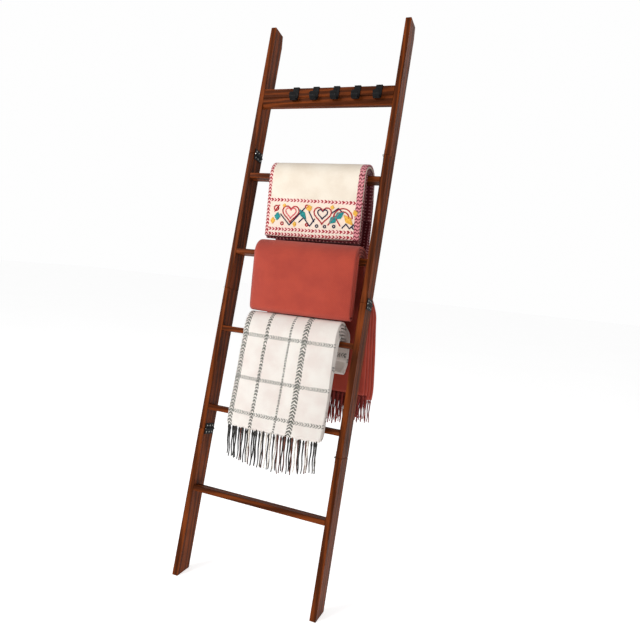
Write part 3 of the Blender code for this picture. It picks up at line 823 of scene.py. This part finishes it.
# The rust throw, whose long back spreads as it hangs
rustLow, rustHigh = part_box("rust_throw")
rustPlan = dict(
    node="rust_throw", rung="rung_4", flat=(1.27, 1.52), across=4, startAt="back",
    frontPasses=2, backPasses=2, front=0.041, over=0.036, back=0.030, slope=0.0,
    frontFoot=rustHigh.z - 0.2305, backFoot=rustLow.z, rightEdge=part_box("right_rail_3")[0].x - 0.021,
    cloth=0.0030, hem=0.0, wave=0.0032, crown=0.015, corner=0.02, stagger=0.004, uneven=0.002, seed=7.7,
    fan=0.052, fanFrom=1.01, fanOver=0.16, flare=0.07,
    fringeSway=0.003, fringeSpacing=0.0125, fringeDrop=0.112, fringeRadius=0.0021,
    wool=tone(190, 66, 44), woolShade=tone(178, 58, 40), yarn=(tone(150, 48, 38), tone(120, 34, 28)))


def makeRustWool(name):
    made, tree, shader = newMaterial(name, roughness=0.95, **{"Sheen Weight": 0.12, "Sheen Roughness": 0.6})
    tints = rustPlan["wool"], rustPlan["woolShade"]
    chart, _, tint, fabric = clothBasics(tree, 330.0, 0.35, tints, 0.34)
    tree.links.new(tint, shader.inputs["Base Color"])
    fuzz = cloudy(tree, chart, 900.0, 3.0)
    bump(tree, calc(tree, "MULTIPLY_ADD", fuzz, 0.7, fabric), 0.5, 0.0007, shader)
    return made


rust = FoldedCloth(rustPlan)
rustThrow = makeThrow("rust_cloth", rust, [makeRustWool("rust_wool_face"), makeRustWool("rust_wool_reverse")],
                      "rust_throw")
rustFringe = makeFringe("rust_tassels", rust, "rust_throw", [makeYarn("rust_yarn", *rustPlan["yarn"])],
                        [0.0, rust.used], lambda chance, other: 0)
print("rust throw folded")


# The plaid throw, whose front lies along the rails
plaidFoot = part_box("plaid_throw")[0].z
plaidPlan = dict(
    node="plaid_throw", rung="rung_3", flat=(1.27, 1.52), across=4, startAt="front",
    frontPasses=3, backPasses=2, front=0.028, over=0.060, back=0.028, slope=0.053,
    frontFoot=plaidFoot, backFoot=plaidFoot + 0.181, cloth=0.0018, hem=0.0,
    wave=0.0030, crown=0.013, corner=0.06, stagger=0.008, uneven=0.004, seed=12.4,
    fan=0.009, fanFrom=0.83, fanOver=0.03, flare=0.0,
    fringeSway=0.006, fringeSpacing=0.0250, fringeDrop=0.122, fringeRadius=0.0024,
    cream=tone(248, 242, 234), creamShade=tone(240, 228, 220), braid=tone(40, 44, 38),
    braidShade=tone(84, 88, 76), thinBraid=tone(86, 88, 80), paleBraid=tone(120, 120, 112),
    blackYarn=tone(28, 27, 26), brownYarn=tone(112, 58, 42),
    # lines along each panel: middle, half width, bold or thin
    panelLines=((0.011, 0.0088, True), (0.088, 0.0058, True), (0.169, 0.0034, False), (0.220, 0.0094, True)),
    crossLines=(0.045, 0.150, 0.283), crossPitch=0.122)


# Cream with chunky two-ply lines along it and soft grey ones across
def makeCreamWool(name, cloth):
    made, tree, shader = newMaterial(name, roughness=0.95, **{"Sheen Weight": 0.35, "Sheen Roughness": 0.55})
    plan = cloth.plan
    chart, part, tint, fabric = clothBasics(tree, 300.0, 0.0, (plan["cream"], plan["creamShade"]))
    panel = plan["flat"][0] / plan["across"]
    u, v = part[0], part[1]
    within = calc(tree, "PINGPONG", u, panel)  # lines repeat in each folded panel
    colour, height = tint, calc(tree, "MULTIPLY", fabric, 0.5)
    starts = plan["crossLines"]
    starts += tuple(starts[-1] + plan["crossPitch"] * i for i in range(1, 11))
    for start in starts:
        row = rowMask(tree, v, u, start, 0.0056, 0.0085, 1.0, 0.60, 0.35)
        colour = blendColour(tree, row["Mask"], colour, plan["paleBraid"])
        height = calc(tree, "ADD", height, row["Mask"])
    for middle, half, bold in plan["panelLines"]:
        row = rowMask(tree, within, v, middle, half, 0.0100 if bold else 0.0080, 0.8, 0.64, 0.25)
        yarn = plan["thinBraid"]
        if bold:
            yarn = blendColour(tree, uneven(tree, chart, 210.0), plan["braid"], plan["braidShade"])
        colour = blendColour(tree, row["Mask"], colour, yarn)
        height = calc(tree, "ADD", height, calc(tree, "MULTIPLY", row["Mask"], 1.2))
    tree.links.new(colour, shader.inputs["Base Color"])
    fuzz = cloudy(tree, chart, 700.0, 3.0)
    bump(tree, calc(tree, "MULTIPLY_ADD", fuzz, 0.5, height), 0.55, 0.0009, shader)
    return made


def plaidYarn(chance, other):  # mostly black, with some brown and a few cream
    if chance < -0.34:
        return 0
    return 2 if other > 0.24 else 1


plaid = FoldedCloth(plaidPlan)
plaidThrow = makeThrow("plaid_cloth", plaid, [makeCreamWool("cream_wool_face", plaid),
                                              makeCreamWool("cream_wool_reverse", plaid)], "plaid_throw")
mixedYarn = [makeYarn("cream_yarn", plaidPlan["cream"], tone(214, 204, 190)),
             makeYarn("black_yarn", plaidPlan["blackYarn"], tone(60, 58, 54)),
             makeYarn("brown_yarn", plaidPlan["brownYarn"], tone(72, 44, 36))]
plaidFringe = makeFringe("plaid_tassels", plaid, "plaid_throw", mixedYarn, [0.0], plaidYarn)
print("plaid throw folded")


# What stands for what
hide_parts("embroidered_throw")
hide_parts("rust_throw")
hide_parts("plaid_throw")
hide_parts("rust_throw_fringe")
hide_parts("plaid_throw_fringe")


# Floor, light and camera
studio = dict(floor=tone(250, 250, 250), floorShade=tone(248, 248, 248), glow=0.65, reach=30,
              seen=0.99, lit=0.34,  # the backdrop as seen, and the light it gives
              camera=(0.7729, -1.6819, 0.9784), yaw=22.02, pitch=-4.44, roll=5.54, lens=32.87)
lights = dict(key=((-1.7, -2.7, 2.6), (0, 0, 0.9), 1.6, 72),  # spot, aim, size and power
              fill=((2.6, -2.4, 1.6), (0, 0, 0.9), 2.2, 3),
              rim=((1.4, 2.4, 2.8), (0, 0, 1.0), 1.6, 10))


def makeFloor():
    bm = bmesh.new()
    bmesh.ops.create_grid(bm, x_segments=1, y_segments=1, size=studio["reach"])
    made, tree, shader = newMaterial("pale_floor", roughness=0.85)
    spot = addNode(tree, "ShaderNodeTexCoord").outputs["Object"]
    tint = blendColour(tree, uneven(tree, spot, 1.2), studio["floor"], studio["floorShade"])
    tree.links.new(tint, shader.inputs["Base Color"])
    shader.inputs["Emission Color"].default_value = (1, 1, 1, 1)
    shader.inputs["Emission Strength"].default_value = studio["glow"]
    mesh = bpy.data.meshes.new("floor")
    bm.to_mesh(mesh)
    bm.free()
    floorPiece = bpy.data.objects.new("floor", mesh)
    bpy.context.scene.collection.objects.link(floorPiece)
    mesh.materials.append(made)


def addLight(name, spot, aim, size, power):
    lamp = bpy.data.lights.new(name, "AREA")
    lamp.shape, lamp.size, lamp.energy = "DISK", size, power
    thing = bpy.data.objects.new(name, lamp)
    bpy.context.scene.collection.objects.link(thing)
    thing.location = spot
    thing.rotation_euler = (Vector(aim) - Vector(spot)).to_track_quat("-Z", "Y").to_euler()


def addCamera():
    yaw, pitch, roll = (radians(studio[k]) for k in ("yaw", "pitch", "roll"))
    ahead = Vector((-sin(yaw) * cos(pitch), cos(yaw) * cos(pitch), sin(pitch)))
    right = Vector((cos(yaw), sin(yaw), 0))
    up = right.cross(ahead)
    tiltedRight = cos(roll) * right + sin(roll) * up
    tiltedUp = cos(roll) * up - sin(roll) * right
    lens = bpy.data.cameras.new("camera")
    lens.lens, lens.sensor_width = studio["lens"], 36
    thing = bpy.data.objects.new("camera", lens)
    bpy.context.scene.collection.objects.link(thing)
    turn = Matrix((tiltedRight, tiltedUp, -ahead)).transposed()
    thing.matrix_world = Matrix.Translation(studio["camera"]) @ turn.to_4x4()
    bpy.context.scene.camera = thing


makeFloor()
for name, values in lights.items():
    addLight(name, *values)
world = bpy.data.worlds.new("studio")
world.use_nodes = True
sky = world.node_tree.nodes["Background"]
seen = addNode(world.node_tree, "ShaderNodeLightPath").outputs["Is Camera Ray"]
strength = calc(world.node_tree, "MULTIPLY_ADD", seen, studio["seen"] - studio["lit"], studio["lit"])
world.node_tree.links.new(strength, sky.inputs["Strength"])
sky.inputs["Color"].default_value = (1, 1, 1, 1)
bpy.context.scene.world = world
bpy.context.scene.view_settings.view_transform = "Standard"
addCamera()
print("studio ready")
